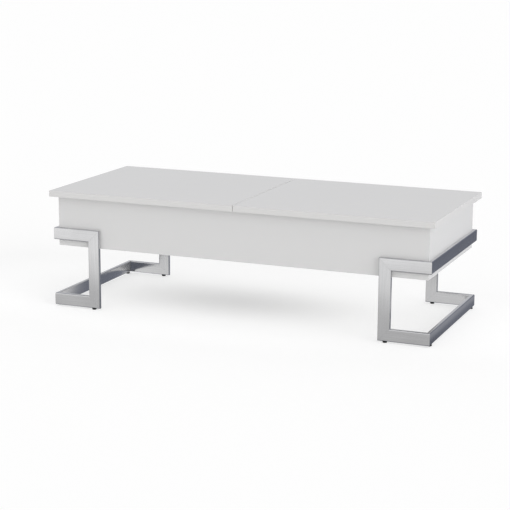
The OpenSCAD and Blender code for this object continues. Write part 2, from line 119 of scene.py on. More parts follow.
def remap(tree, value, low=0.0, high=1.0, at_low=0.0, at_high=1.0, smooth=False):
    """A value carried from one range to another, in a straight line or with soft ends."""
    return add_node(tree, "ShaderNodeMapRange", {"interpolation_type": "SMOOTHSTEP" if smooth else "LINEAR"},
                    _0=value, _1=low, _2=high, _3=at_low, _4=at_high).outputs[0]


def noise(tree, vector, scale, **values):
    """A noise texture's strength."""
    return add_node(tree, "ShaderNodeTexNoise", Vector=vector, Scale=scale, **values).outputs["Fac"]


def new_finish(name, **inputs):
    """A shader node group that makes a finish, with its inputs' default values. Spaces as _."""
    group = bpy.data.node_groups.new(name, "ShaderNodeTree")
    group.interface.new_socket(name="Vector", in_out="INPUT", socket_type="NodeSocketVector")
    for key, default in inputs.items():
        kind = {4: "Color", 3: "Vector"}[len(default)] if isinstance(default, tuple) else "Float"
        socket = group.interface.new_socket(name=key.replace("_", " "), in_out="INPUT",
                                            socket_type="NodeSocket" + kind)
        socket.default_value = default
    for key, kind in (("Color", "Color"), ("Roughness", "Float"), ("Normal", "Vector")):
        group.interface.new_socket(name=key, in_out="OUTPUT", socket_type="NodeSocket" + kind)
    return group, group.nodes.new("NodeGroupInput").outputs


def end_finish(group, color, roughness, height, strength, distance):
    """Ends a finish group with its colour, its roughness and a bump made from a height."""
    bump = add_node(group, "ShaderNodeBump", Strength=strength, Distance=distance, Height=height)
    add_node(group, "NodeGroupOutput", Color=color, Roughness=roughness, Normal=bump.outputs[0])
    return group


def brushed_metal_group():
    """Fine parallel scratches: noise drawn out by Stretch, over a slow drift of tone."""
    group, start = new_finish("brushed_metal", Stretch=(1, 1, 1), Light=(0.7, 0.7, 0.7, 1),
                              Dark=(0.5, 0.5, 0.5, 1), Smoothest=0.2, Roughest=0.4, Depth=0.1)
    pulled = add_node(group, "ShaderNodeVectorMath", {"operation": "MULTIPLY"},
                      _0=start["Vector"], _1=start["Stretch"]).outputs[0]
    scratches = noise(group, pulled, 1.0, Detail=4.0, Roughness=0.62)
    drift = math_node(group, "MULTIPLY", noise(group, start["Vector"], 9.0, Detail=3.0), 0.45)
    share = add_node(group, "ShaderNodeMath", {"operation": "MULTIPLY_ADD", "use_clamp": True},
                     _0=scratches, _1=0.9, _2=drift).outputs[0]
    spread = remap(group, share, 0.35, 1.0)
    return end_finish(group, mix_color(group, spread, start["Light"], start["Dark"]),
                      remap(group, spread, 0.0, 1.0, start["Smoothest"], start["Roughest"]),
                      scratches, start["Depth"], 0.00002)


def finish_material(name, finish, **values):
    """A material whose colour, roughness and surface come from a finish group."""
    material, tree, shader, vector = new_material(name)
    node = add_node(tree, "ShaderNodeGroup", {"node_tree": finish}, Vector=vector, **values)
    for output, socket in (("Color", "Base Color"), ("Roughness", "Roughness"), ("Normal", "Normal")):
        tree.links.new(node.outputs[output], shader.inputs[socket])
    return material, shader.inputs


BRUSHED = brushed_metal_group()
ALONG, ACROSS = 9.0, 1500.0


def tube_steel(axis):
    """Bright brushed steel with its scratches running along one axis."""
    stretch = [ACROSS] * 3
    stretch[axis] = ALONG
    material, settings = finish_material(
        f"brushed_tube_{'xyz'[axis]}", BRUSHED, Stretch=stretch, Light=(0.76, 0.76, 0.77, 1),
        Dark=(0.57, 0.57, 0.575, 1), Smoothest=0.12, Roughest=0.22, Depth=0.25)
    settings["Metallic"].default_value = 1.0
    return material


def in_scene(name, data):
    """A new object in the scene."""
    thing = bpy.data.objects.new(name, data)
    bpy.context.scene.collection.objects.link(thing)
    return thing


def evaluated_mesh(thing):
    """The plain mesh that an object's modifiers make."""
    return bpy.data.meshes.new_from_object(thing.evaluated_get(bpy.context.evaluated_depsgraph_get()))


def finished(name, mesh, material, body, node):
    """Makes a mesh a piece of the table: with its material, riding its body, standing for its CAD node."""
    piece = in_scene(name, mesh)
    mesh.name = name
    mesh.materials.clear()
    mesh.materials.append(material)
    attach(piece, body)
    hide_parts(node)
    return piece


def body_of_node(node):
    """The moving body that a CAD node belongs to."""
    return next(b for b, nodes in frame["record"]["behaviour"]["bodies"].items() if node in nodes)


def rounded_outline(half_a, half_b, radius, steps):
    """Points round a rectangle with round corners, centred on the origin."""
    points = []
    for corner in range(4):
        centre_a = (half_a - radius) * (1 if corner in (0, 3) else -1)
        centre_b = (half_b - radius) * (1 if corner < 2 else -1)
        for step in range(steps + 1):
            angle = math.pi / 2 * (corner + step / steps)
            points.append((centre_a + radius * math.cos(angle), centre_b + radius * math.sin(angle)))
    return points


def smooth_by_angle(mesh, degrees=35):
    """Shades a mesh smooth, but for the edges that turn by more than an angle."""
    mesh.polygons.foreach_set("use_smooth", [True] * len(mesh.polygons))
    mesh.set_sharp_from_angle(angle=math.radians(degrees))


ON_AXIS = 1e-7  # a turned profile's point with a smaller radius is on its axis


def revolve(profile, segments=32):
    """A turned shape: profile is (radius, height) from one end of the axis to the other."""
    builder = bmesh.new()
    rings = []
    for radius, height in profile:
        if radius < ON_AXIS:
            rings.append([builder.verts.new((0, 0, height))])
            continue
        rings.append([
            builder.verts.new((radius * math.cos(math.tau * i / segments),
                               radius * math.sin(math.tau * i / segments), height))
            for i in range(segments)
        ])
    for lower, upper in zip(rings, rings[1:]):
        for i in range(segments):
            j = (i + 1) % segments
            corners = [ring[k % len(ring)] for ring, k in ((lower, i), (lower, j), (upper, j), (upper, i))]
            builder.faces.new(list(dict.fromkeys(corners)))
    bmesh.ops.recalc_face_normals(builder, faces=builder.faces)
    return builder


def closed_up(builder):
    """Joins points in the same place, where an outline meets its own start, and turns the faces outward."""
    bmesh.ops.remove_doubles(builder, verts=builder.verts, dist=0.001 * MM)
    bmesh.ops.recalc_face_normals(builder, faces=builder.faces)
    return builder


def plain_mesh(name, builder):
    """A mesh from a builder, shaded by angle."""
    mesh = bpy.data.meshes.new(name)
    builder.to_mesh(mesh)
    builder.free()
    smooth_by_angle(mesh)
    return mesh


def template(name, builder):
    """A pattern to cut or to copy; it is thrown away when the piece is made."""
    return in_scene(name, plain_mesh(name, builder))


def cut_away(pattern, cutter_builder):
    """Cuts one closed shape out of another: a driver recess, or the holes in a tube."""
    cutter = template(pattern.name + "_cutter", cutter_builder)
    cut = pattern.modifiers.new("cut", "BOOLEAN")
    cut.operation = "DIFFERENCE"
    cut.solver = "EXACT"
    cut.object = cutter
    mesh = evaluated_mesh(pattern)
    pattern.modifiers.clear()
    pattern.data = mesh
    smooth_by_angle(mesh)
    bpy.data.objects.remove(cutter)


def islands(node):
    """The boxes of the separate skins in a CAD node, left to right."""
    builder = bmesh.new()
    builder.from_mesh(frame["nodes"][node].data)
    bmesh.ops.remove_doubles(builder, verts=builder.verts, dist=0.001 * MM)
    left, boxes = set(builder.verts), []
    while left:
        skin, waiting = [], [left.pop()]
        while waiting:
            vertex = waiting.pop()
            skin.append(vertex.co.copy())
            near = {edge.other_vert(vertex) for edge in vertex.link_edges} & left
            left -= near
            waiting += near
        boxes.append(tuple(Vector(pick(point[i] for point in skin) for i in range(3)) for pick in (min, max)))
    builder.free()
    return sorted(boxes, key=lambda box: [round(c, 5) for c in (*box[0], *box[1])])


def drill_holes(tube, node, fastener_node):
    """Drills a tube for the shanks of the fasteners that go into it."""
    low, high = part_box(node)
    drill_radius = 3.1 * MM
    drills = bmesh.new()
    for start, end in islands(fastener_node):
        if not all(start[i] < high[i] and end[i] > low[i] for i in range(3)):
            continue
        size = end - start
        # A fastener lies along the one size that differs from the other two, which are its head's diameter
        axis = max(range(3), key=lambda i: sum(abs(size[i] - other) for other in size))
        reach = size[axis] / 2
        drill = revolve([(0, -reach), (drill_radius, -reach), (drill_radius, reach), (0, reach)], 28)
        turn = Vector([i == axis for i in range(3)]).to_track_quat("Z", "Y").to_matrix()
        bmesh.ops.rotate(drill, verts=drill.verts, matrix=turn)
        bmesh.ops.translate(drill, verts=drill.verts, vec=(start + end) / 2)
        drills.from_mesh(plain_mesh("drill", drill))
    cut_away(tube, drills)


def mitred_tube(node, axis, start_lean, end_lean, fasteners=None):
    """A hollow tube in a CAD tube's box. A lean is (axis, side): the end is longest at that side."""
    wall, corner, inner_corner = 1.5 * MM, 3.0 * MM, 1.9 * MM
    weld_groove, corner_steps = 0.12 * MM, 5
    low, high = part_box(node)
    across, through = [i for i in range(3) if i != axis]
    centre = (low + high) / 2
    half = (high - low) / 2

    def lies_back(point, lean):
        """How far this profile point lies back from the tube's tip."""
        lean_axis, side = lean
        return (high[lean_axis] - point[lean_axis]) if side > 0 else (point[lean_axis] - low[lean_axis])

    def ring(shrink, radius, at_end, back):
        """One outline of the tube's section, sheared along the mitre at one of its ends."""
        points = []
        rounding = radius - shrink * 0.2
        for u, v in rounded_outline(half[across] - shrink, half[through] - shrink, rounding, corner_steps):
            point = centre.copy()
            point[across] += u
            point[through] += v
            if at_end:
                point[axis] = high[axis] - lies_back(point, end_lean) - back
            else:
                point[axis] = low[axis] + lies_back(point, start_lean) + back
            points.append(builder.verts.new(point))
        return points

    builder = bmesh.new()
    outer = [ring(weld_groove if back == 0 else 0.0, corner, at_end, back)
             for at_end, back in ((False, 0.0), (False, weld_groove), (True, weld_groove), (True, 0.0))]
    inner = [ring(wall, inner_corner, at_end, 0.0) for at_end in (False, True)]
    around = [*outer, inner[1], inner[0], outer[0]]
    for first, second in zip(around, around[1:]):
        for i in range(len(first)):
            j = (i + 1) % len(first)
            builder.faces.new((first[i], first[j], second[j], second[i]))
    tube = template("tube_pattern", closed_up(builder))
    if fasteners:
        drill_holes(tube, node, fasteners)
    mesh = tube.data
    bpy.data.objects.remove(tube)
    return finished(node + "_tube", mesh, STEEL[axis], body_of_node(node), node)


STEEL = {axis: tube_steel(axis) for axis in (X, Y, Z)}
for side_name, out in (("left", -1), ("right", 1)):
    for level, edge, fasteners in (("upper", 1, "frame_bolts"), ("lower", -1, f"{side_name}_feet")):
        for depth_name, face in (("front", -1), ("rear", 1)):
            leans = [(Z, edge), (Y, face)][::out]
            mitred_tube(f"{side_name}_{level}_{depth_name}_bar", X, *leans, fasteners)
        mitred_tube(f"{side_name}_{level}_end_bar", Y, (X, out), (X, out), fasteners)
    for depth_name in ("front", "rear"):
        mitred_tube(f"{side_name}_{depth_name}_post", Z, (X, -out), (X, -out))


# ---------------------------------------------------------------------------------------------
# Feet
# Eight small black glides, moulded in hard plastic, pushed into holes under the lower tubes by a
# ribbed stem. The pad has a soft lower edge and a shallow waist where it was parted from its runner.

def moulded_plastic_group():
    """Moulded or coated surface: a fine pebble, a slow drift of tone and paler scuffs."""
    group, start = new_finish("moulded_surface", Tone=(0.5, 0.5, 0.5, 1), Scuff_Tone=(0.6, 0.6, 0.6, 1),
                              Scuffs=0.3, Pebble_Scale=1500.0, Pebble_Depth=0.2, Sheen_Low=0.35,
                              Sheen_High=0.55)
    pebble = noise(group, start["Vector"], start["Pebble Scale"], Detail=2.0)
    cloud = noise(group, start["Vector"], 70.0, Detail=5.0, Roughness=0.7)
    amount = math_node(group, "MULTIPLY", remap(group, cloud, 0.5, 0.8), start["Scuffs"])
    return end_finish(group, mix_color(group, amount, start["Tone"], start["Scuff Tone"]),
                      remap(group, cloud, 0.3, 0.75, start["Sheen Low"], start["Sheen High"]),
                      pebble, start["Pebble Depth"], 0.0001)


def new_geometry_tree(name, **inputs):
    """A Geometry Nodes tree from one geometry to another, with its own named inputs. Spaces as _."""
    tree = bpy.data.node_groups.new(name, "GeometryNodeTree")
    for key, kind in {"Geometry": "Geometry", **inputs}.items():
        tree.interface.new_socket(name=key.replace("_", " "), in_out="INPUT", socket_type="NodeSocket" + kind)
    tree.interface.new_socket(name="Geometry", in_out="OUTPUT", socket_type="NodeSocketGeometry")
    return tree, tree.nodes.new("NodeGroupInput").outputs


def end_geometry_tree(tree, geometry, finish):
    """Ends a Geometry Nodes tree with real geometry that has its material."""
    real = add_node(tree, "GeometryNodeRealizeInstances", Geometry=geometry)
    painted = add_node(tree, "GeometryNodeSetMaterial", Geometry=real.outputs[0], Material=finish)
    add_node(tree, "NodeGroupOutput", Geometry=painted.outputs[0])
    return tree


def copies_tree():
    """Geometry Nodes: one copy of Part at each point, turned to its aim, then by a random angle."""
    tree, start = new_geometry_tree("placed_copies", Part="Object", Finish="Material", Turn="Float",
                                    Seed="Int")
    part = add_node(tree, "GeometryNodeObjectInfo", {"transform_space": "ORIGINAL"}, Object=start["Part"])
    aim = add_node(tree, "GeometryNodeInputNamedAttribute", {"data_type": "FLOAT_VECTOR"}, Name="aim")
    facing = add_node(tree, "FunctionNodeAlignRotationToVector", {"axis": "Z"},
                      Vector=aim.outputs["Attribute"])
    turn = add_node(tree, "FunctionNodeRandomValue", {"data_type": "FLOAT"},
                    _2=0.0, _3=start["Turn"], Seed=start["Seed"])
    about_z = add_node(tree, "ShaderNodeCombineXYZ", Z=turn.outputs[1])
    spun = add_node(tree, "FunctionNodeEulerToRotation", Euler=about_z.outputs[0])
    rotation = add_node(tree, "FunctionNodeRotateRotation", {"rotation_space": "LOCAL"},
                        Rotation=facing.outputs[0], Rotate_By=spun.outputs[0])
    placed = add_node(tree, "GeometryNodeInstanceOnPoints", Points=start["Geometry"],
                      Instance=part.outputs["Geometry"], Rotation=rotation.outputs[0])
    return end_geometry_tree(tree, placed.outputs[0], start["Finish"])


COPIES = copies_tree()


def grown_mesh(name, mesh, tree, **values):
    """Runs a Geometry Nodes tree over a mesh and returns the plain mesh that it makes."""
    grower = in_scene(name + "_grower", mesh)
    modifier = grower.modifiers.new("nodes", "NODES")
    modifier.node_group = tree
    for item in tree.interface.items_tree:
        key = item.name.replace(" ", "_")
        if item.in_out == "INPUT" and key in values:
            modifier[item.identifier] = values[key]
    made = evaluated_mesh(grower)
    bpy.data.objects.remove(grower)
    return made


def placed_copies(name, pattern, places, material, body, node, turn=0.0, seed=1):
    """Copies of a pattern at (position, aim) places, as one plain mesh piece that rides a body."""
    points = bpy.data.meshes.new(name + "_places")
    points.from_pydata([position for position, _ in places], [], [])
    aims = points.attributes.new("aim", "FLOAT_VECTOR", "POINT")
    aims.data.foreach_set("vector", [number for _, aim in places for number in aim])
    mesh = grown_mesh(name, points, COPIES, Part=pattern, Finish=material, Turn=turn, Seed=seed)
    return finished(name, mesh, material, body, node)


MOULDED = moulded_plastic_group()
foot_plastic, _ = finish_material("black_glide_plastic", MOULDED, Tone=(0.014, 0.014, 0.015, 1),
                                  Scuff_Tone=(0.06, 0.06, 0.06, 1), Scuffs=0.5, Pebble_Scale=1800.0,
                                  Pebble_Depth=0.3)

foot_boxes = {side: islands(f"{side}_feet") for side in ("left", "right")}
low, high = foot_boxes["left"][0]
foot_radius, stem_height = (high.x - low.x) / 2, high.z
pad_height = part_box("left_lower_end_bar")[0].z
stem_radius, ribs = 3.0 * MM, 4
rib_pitch = (stem_height - pad_height) / (ribs + 1)
foot_profile = [
    (0, 0), (foot_radius - 1.6 * MM, 0), (foot_radius - 0.7 * MM, 0.25 * MM),
    (foot_radius - 0.2 * MM, 0.8 * MM), (foot_radius, 1.5 * MM), (foot_radius, pad_height * 0.55),
    (foot_radius - 0.25 * MM, pad_height * 0.62), (foot_radius, pad_height * 0.7),
    (foot_radius, pad_height - 0.3 * MM), (foot_radius - 0.3 * MM, pad_height), (stem_radius, pad_height),
]
for rib in range(ribs):
    foot_profile += [(stem_radius, pad_height + rib_pitch * (rib + 0.7)),
                     (stem_radius - 0.5 * MM, pad_height + rib_pitch * (rib + 1.0))]
foot_profile += [(stem_radius - 0.7 * MM, stem_height), (0, stem_height)]
foot_pattern = template("foot_pattern", revolve(foot_profile, 40))
for side, boxes in foot_boxes.items():
    places = [((*(low + high).xy / 2, 0.0), (0, 0, 1)) for low, high in boxes]
    placed_copies(f"{side}_glides", foot_pattern, places, foot_plastic, "base", f"{side}_feet")
bpy.data.objects.remove(foot_pattern)


# ---------------------------------------------------------------------------------------------
# Case panels
# Four 16 mm fibreboard panels with mitred corners, sprayed white and polished to a high gloss. The
# sprayed edges are rounded by about half a millimetre, and the coat has a faint orange peel.

def lacquer_group():
    """Sprayed gloss coat: orange peel in the surface and a very slow drift of tone."""
    group, start = new_finish("sprayed_lacquer", Tone=(0.8, 0.8, 0.8, 1), Drift_Tone=(0.78, 0.78, 0.78, 1),
                              Peel_Depth=0.012, Peel_Scale=260.0, Gloss_Low=0.11, Gloss_High=0.14)
    drift = noise(group, start["Vector"], 3.5, Detail=4.0, Roughness=0.55)
    haze = noise(group, start["Vector"], 28.0, Detail=6.0)
    peel = noise(group, start["Vector"], start["Peel Scale"], Detail=1.5)
    return end_finish(group, mix_color(group, drift, start["Tone"], start["Drift Tone"]),
                      remap(group, haze, 0.3, 0.7, start["Gloss Low"], start["Gloss High"]),
                      peel, start["Peel Depth"], 0.0001)


LACQUERED = lacquer_group()


def lacquer(name, tone, drift_tone):
    """White lacquer under a thin clear coat."""
    material, settings = finish_material(name, LACQUERED, Tone=(*tone, 1), Drift_Tone=(*drift_tone, 1))
    settings["IOR"].default_value = 1.4
    settings["Specular IOR Level"].default_value = 0.4
    settings["Coat Weight"].default_value = 0.1
    settings["Coat Roughness"].default_value = 0.05
    return material


def eased_copy(node, material, width, segments, name):
    """A copy of a CAD node with its doubled points merged, its flats joined and its edges rounded."""
    builder = bmesh.new()
    builder.from_mesh(frame["nodes"][node].data)
    bmesh.ops.remove_doubles(builder, verts=builder.verts, dist=0.001 * MM)
    bmesh.ops.dissolve_limit(builder, angle_limit=math.radians(1), verts=builder.verts, edges=builder.edges)
    worker = template("sharp_copy", builder)
    bevel = worker.modifiers.new("edges", "BEVEL")
    bevel.width = width
    bevel.segments = segments
    bevel.limit_method = "ANGLE"
    bevel.angle_limit = math.radians(40)
    bevel.harden_normals = True
    bevel.use_clamp_overlap = True
    weld = worker.modifiers.new("doubled_points", "WELD")
    weld.mode = "CONNECTED"
    weld.merge_threshold = 0.001 * MM
    mesh = evaluated_mesh(worker)
    bpy.data.objects.remove(worker)
    return finished(name, mesh, material, body_of_node(node), node)


case_lacquer = lacquer("case_lacquer", (0.81, 0.807, 0.805), (0.795, 0.792, 0.79))
for node in ("case_front", "case_back", "case_left_end", "case_right_end"):
    eased_copy(node, case_lacquer, 0.5 * MM, 3, node + "_panel")


# ---------------------------------------------------------------------------------------------
# Corner splines
# A flat strip of birch is glued across each mitred corner of the case and holds it together. Only the
# top ends show, when the tops are lifted.

def wood_group():
    """Fine-grained wood: rings drawn out along Z."""
    group, start = new_finish("birch_grain", Pale=(0.6, 0.5, 0.4, 1), Dark=(0.4, 0.3, 0.2, 1))
    pulled = add_node(group, "ShaderNodeVectorMath", {"operation": "MULTIPLY"}, _0=start["Vector"],
                      _1=(900.0, 900.0, 22.0)).outputs[0]
    grain = noise(group, pulled, 1.0, Detail=5.0, Distortion=0.4)
    return end_finish(group, mix_color(group, grain, start["Pale"], start["Dark"]),
                      remap(group, grain, 0.0, 1.0, 0.55, 0.8), grain, 0.3, 0.0001)


birch, _ = finish_material("birch_spline", wood_group(), Pale=(0.62, 0.47, 0.31, 1),
                           Dark=(0.44, 0.30, 0.18, 1))
eased_copy("corner_splines", birch, 0.3 * MM, 1, "corner_spline_strips")


# ---------------------------------------------------------------------------------------------
# Case floor and divider
# Both are board faced with white melamine. The 9 mm floor sits in grooves run round the case, and the
# 18 mm divider stands in housings in the front and back panels.

melamine, _ = finish_material("white_melamine", MOULDED, Tone=(0.70, 0.70, 0.69, 1),
                              Scuff_Tone=(0.63, 0.63, 0.62, 1), Scuffs=0.25, Pebble_Scale=900.0,
                              Pebble_Depth=0.25, Sheen_Low=0.36, Sheen_High=0.5)
eased_copy("case_floor", melamine, 0.3 * MM, 1, "floor_board")
eased_copy("case_divider", melamine, 0.4 * MM, 2, "divider_board")


# ---------------------------------------------------------------------------------------------
# Top bumpers
# Eight soft clear-white discs, stuck to the top edges of the case. The tops come to rest on them.

def size_of(node):
    """The size of the first separate solid in a CAD node."""
    low, high = islands(node)[0]
    return high - low


def placed_on(node, aim_of):
    """A place and an aim for each solid in a CAD node: the middle of its near face, and its axis."""
    places = []
    for low, high in islands(node):
        centre, half = (low + high) / 2, (high - low) / 2
        aim = Vector(aim_of(centre, half))
        places.append((centre - Vector(a * h for a, h in zip(aim, half)), aim))
    return places


soft_plastic, settings = finish_material("soft_bumper_plastic", MOULDED, Tone=(0.66, 0.67, 0.67, 1),
                                         Scuff_Tone=(0.52, 0.52, 0.5, 1), Scuffs=0.3, Pebble_Scale=2400.0,
                                         Pebble_Depth=0.15, Sheen_Low=0.3, Sheen_High=0.45)
settings["Subsurface Weight"].default_value = 0.15
settings["Subsurface Scale"].default_value = 0.002
bumper_radius, bumper_height = size_of("top_bumpers").x / 2, size_of("top_bumpers").z
bumper_pattern = template("bumper_pattern", revolve([
    (0, 0), (bumper_radius - 0.1 * MM, 0), (bumper_radius, 0.15 * MM), (bumper_radius, bumper_height * 0.3),
    (bumper_radius * 0.93, bumper_height * 0.68), (bumper_radius * 0.78, bumper_height * 0.92),
    (bumper_radius * 0.6, bumper_height), (0, bumper_height)], 36))
placed_copies("bumper_discs", bumper_pattern, placed_on("top_bumpers", lambda centre, half: (0, 0, 1)),
              soft_plastic, "base", "top_bumpers")
bpy.data.objects.remove(bumper_pattern)


# ---------------------------------------------------------------------------------------------
# Frame bolts
# Twelve button-head bolts with hexagon sockets, driven from inside the case through its panels into
# the upper tubes. They are steel, plated with bright zinc.

def plated_group():
    """Bright plating: cloudy patches and small dull marks."""
    group, start = new_finish("zinc_plating", Light=(0.7, 0.7, 0.7, 1), Dark=(0.5, 0.5, 0.5, 1), Marks=0.2)
    cloud = noise(group, start["Vector"], 260.0, Detail=4.0)
    dents = add_node(group, "ShaderNodeTexVoronoi", Vector=start["Vector"], Scale=1400.0)
    return end_finish(group, mix_color(group, cloud, start["Light"], start["Dark"]),
                      remap(group, cloud, 0.3, 0.7, 0.2, 0.42), dents.outputs["Distance"],
                      start["Marks"], 0.00005)


def outward(centre, half):
    """The way out of the case through the nearest panel, for a fastener that lies along its longest side."""
    axis = max(range(3), key=lambda i: half[i])
    return [math.copysign(1, centre[i]) if i == axis else 0 for i in range(3)]


def threaded(radius, start, end, pitch=1.0 * MM, depth=0.45 * MM):
    """The turned outline of a thread, from one height to the other."""
    turns = max(2, round((end - start) / pitch))
    step = (end - start) / turns
    return [(radius - depth * (half % 2 == 0), start + step * half / 2) for half in range(2 * turns)]


zinc, settings = finish_material("bright_zinc", plated_group(), Light=(0.66, 0.67, 0.69, 1),
                                 Dark=(0.50, 0.51, 0.54, 1), Marks=0.25)
settings["Metallic"].default_value = 1.0

_, head_width, bolt_length = sorted(size_of("frame_bolts"))
head_radius, head_height, shank_radius = head_width / 2, 4.0 * MM, 3.0 * MM
bolt_pattern = template("bolt_pattern", revolve([
    (0, 0), (3.3 * MM, 0), (4.7 * MM, 0.45 * MM), (5.6 * MM, 1.3 * MM), (head_radius, 2.6 * MM),
    (head_radius, head_height - 0.3 * MM), (head_radius - 0.3 * MM, head_height), (shank_radius, head_height),
    (shank_radius, head_height + 9 * MM),
    *threaded(shank_radius, head_height + 9.2 * MM, bolt_length - 0.8 * MM),
    (shank_radius - 0.8 * MM, bolt_length), (0, bolt_length)], 36))
hexagon = revolve([(0, -1 * MM), (2.3 * MM, -1 * MM), (2.3 * MM, 2.2 * MM), (0, 3.1 * MM)], 6)
cut_away(bolt_pattern, hexagon)
placed_copies("frame_bolt_set", bolt_pattern, placed_on("frame_bolts", outward), zinc, "base", "frame_bolts",
              turn=math.tau, seed=4)
bpy.data.objects.remove(bolt_pattern)


# ---------------------------------------------------------------------------------------------
# Base plates
# Four plates pressed from 2.5 mm steel and powder coated black. Two stand on the case ends and two on
# the divider, and each has a lightening slot between its pivots and its rear screws.

powder_coat, _ = finish_material("black_powder_coat", MOULDED, Tone=(0.022, 0.023, 0.025, 1),
                                 Scuff_Tone=(0.05, 0.05, 0.052, 1), Scuffs=0.4, Pebble_Scale=750.0,
                                 Pebble_Depth=0.55, Sheen_Low=0.32, Sheen_High=0.5)
units = [(half, place) for half in ("left", "right") for place in ("outer", "inner")]
for half, place in units:
    eased_copy(f"{half}_{place}_base_plate", powder_coat, 0.35 * MM, 2, f"{half}_{place}_plate")


# ---------------------------------------------------------------------------------------------
# Base plate screws
# Sixteen countersunk chipboard screws with cross recesses hold the base plates to the white boards.

def screw_pattern(name, length):
    """A countersunk screw from its head's face, at height 0, to its point."""
    pattern = template(name, revolve([
        (0, 0), (4.05 * MM, 0), (4.2 * MM, 0.15 * MM), (2.1 * MM, 2.2 * MM), (2.0 * MM, 3.0 * MM),
        *threaded(2.0 * MM, 3.2 * MM, length - 2.2 * MM, 1.3 * MM, 0.6 * MM),
        (1.0 * MM, length - 1.0 * MM), (0, length)], 28))
    # The cross recess: two wings, one after the other, each narrower at its bottom
    for turn in range(2):
        wing = bmesh.new()
        bmesh.ops.create_cube(wing, size=1.0)
        bmesh.ops.scale(wing, verts=wing.verts, vec=(4.3 * MM, 0.9 * MM, 3.4 * MM))
        for vertex in wing.verts:
            if vertex.co.z > 0:
                vertex.co.x *= 0.3
        bmesh.ops.rotate(wing, verts=wing.verts, matrix=Matrix.Rotation(math.pi / 2 * turn, 3, "Z"))
        cut_away(pattern, wing)
    return pattern


plate_screw_pattern = screw_pattern("plate_screw_pattern", max(size_of("base_plate_screws")))


def into_panel(centre, half):
    """From the room inside the case towards the panel or divider that a lift unit stands on."""
    on_case_end = abs(centre.x) > cad_high.x / 2
    return (math.copysign(1, centre.x) * (1 if on_case_end else -1), 0, 0)


placed_copies("base_plate_screw_set", plate_screw_pattern, placed_on("base_plate_screws", into_panel), zinc,
              "base", "base_plate_screws", turn=math.tau, seed=9)
bpy.data.objects.remove(plate_screw_pattern)


# ---------------------------------------------------------------------------------------------
# Base plate pins
# Each base plate has two turned pins, riveted into it from behind: a long one with a waist, on which the
# spring hooks, and a short one that stops the main arm.

def off_panel(centre, half):
    """From the panel that a lift unit stands on, into the room."""
    return tuple(-part for part in into_panel(centre, half))


back_head = 1.25 * MM
pin_places = placed_on("base_plate_pins", off_panel)
pin_lengths = [(high - low).x for low, high in islands("base_plate_pins")]
anchor_length, stop_length = max(pin_lengths), min(pin_lengths)
waist_start, waist_end = anchor_length - 4.1 * MM, anchor_length - 1.9 * MM
anchor_pattern = template("anchor_pattern", revolve([
    (0, 0), (4.8 * MM, 0), (5 * MM, 0.2 * MM), (5 * MM, back_head), (3 * MM, back_head),
    (3 * MM, waist_start - 0.3 * MM), (2.7 * MM, waist_start - 0.15 * MM), (2.1 * MM, waist_start),
    (2.1 * MM, waist_end), (2.7 * MM, waist_end + 0.15 * MM), (3 * MM, waist_end + 0.3 * MM),
    (3 * MM, anchor_length - 0.5 * MM), (2.5 * MM, anchor_length), (0, anchor_length)], 32))
stop_pattern = template("stop_pattern", revolve([
    (0, 0), (5.8 * MM, 0), (6 * MM, 0.2 * MM), (6 * MM, back_head), (4 * MM, back_head),
    (4 * MM, stop_length - 0.5 * MM), (3.5 * MM, stop_length), (0.8 * MM, stop_length),
    (0, stop_length - 0.4 * MM)], 32))
for name, pattern, length in (("spring_anchor_set", anchor_pattern, anchor_length),
                              ("stop_pin_set", stop_pattern, stop_length)):
    chosen = [place for place, own in zip(pin_places, pin_lengths) if abs(own - length) < 1 * MM]
    placed_copies(name, pattern, chosen, zinc, "base", "base_plate_pins")
    bpy.data.objects.remove(pattern)


# ---------------------------------------------------------------------------------------------
# Base pivots
# A shouldered rivet carries each arm on its base plate. Its back head lies flush in the plate, its front
# head is domed, and a thin nylon washer keeps the arm off the plate.

def rivet_outline(length, back_radius, back_t, front_radius, front_t):
    """Back head, shank and domed front head, with a dimple from the rivet press."""
    shank = 4.0 * MM
    front = length - front_t
    return [
        (0, 0), (back_radius - 0.3 * MM, 0), (back_radius, 0.3 * MM), (back_radius, back_t - 0.2 * MM),
        (back_radius - 0.2 * MM, back_t), (shank, back_t), (shank, front), (front_radius - 0.2 * MM, front),
        (front_radius, front + 0.2 * MM), (front_radius - 0.2 * MM, front + 0.4 * front_t),
        (front_radius * 0.86, front + 0.75 * front_t), (front_radius * 0.62, front + 0.96 * front_t),
        (front_radius * 0.45, length), (front_radius * 0.3, length - 0.15 * MM),
        (front_radius * 0.22, length - 0.45 * MM), (0, length - 0.5 * MM),
    ]


def washer_pattern(name, node):
    """A flat ring with rounded rims; its bore clears the rivet's shank."""
    thick, _, across = sorted(size_of(node))
    outer, bore, rim = across / 2, 4.2 * MM, 0.25 * MM
    return template(name, closed_up(revolve([
        (bore + rim, 0), (outer - rim, 0), (outer, rim), (outer, thick - rim), (outer - rim, thick),
        (bore + rim, thick), (bore, thick - rim), (bore, rim), (bore + rim, 0)], 40)))


nylon, _ = finish_material("natural_nylon", MOULDED, Tone=(0.72, 0.71, 0.65, 1),
                           Scuff_Tone=(0.55, 0.54, 0.5, 1), Scuffs=0.4, Pebble_Scale=1600.0,
                           Pebble_Depth=0.2, Sheen_Low=0.3, Sheen_High=0.45)
base_rivet_length = min(size_of("base_rivets"))
base_rivet = template("base_rivet_pattern", revolve(
    rivet_outline(base_rivet_length, 8 * MM, back_head, 8 * MM, 1.8 * MM), 40))
base_washer = washer_pattern("base_washer_pattern", "base_washers")
placed_copies("base_rivet_set", base_rivet, placed_on("base_rivets", off_panel), zinc, "base", "base_rivets")
placed_copies("base_washer_set", base_washer, placed_on("base_washers", off_panel), nylon, "base",
              "base_washers")
for pattern in (base_rivet, base_washer):
    bpy.data.objects.remove(pattern)


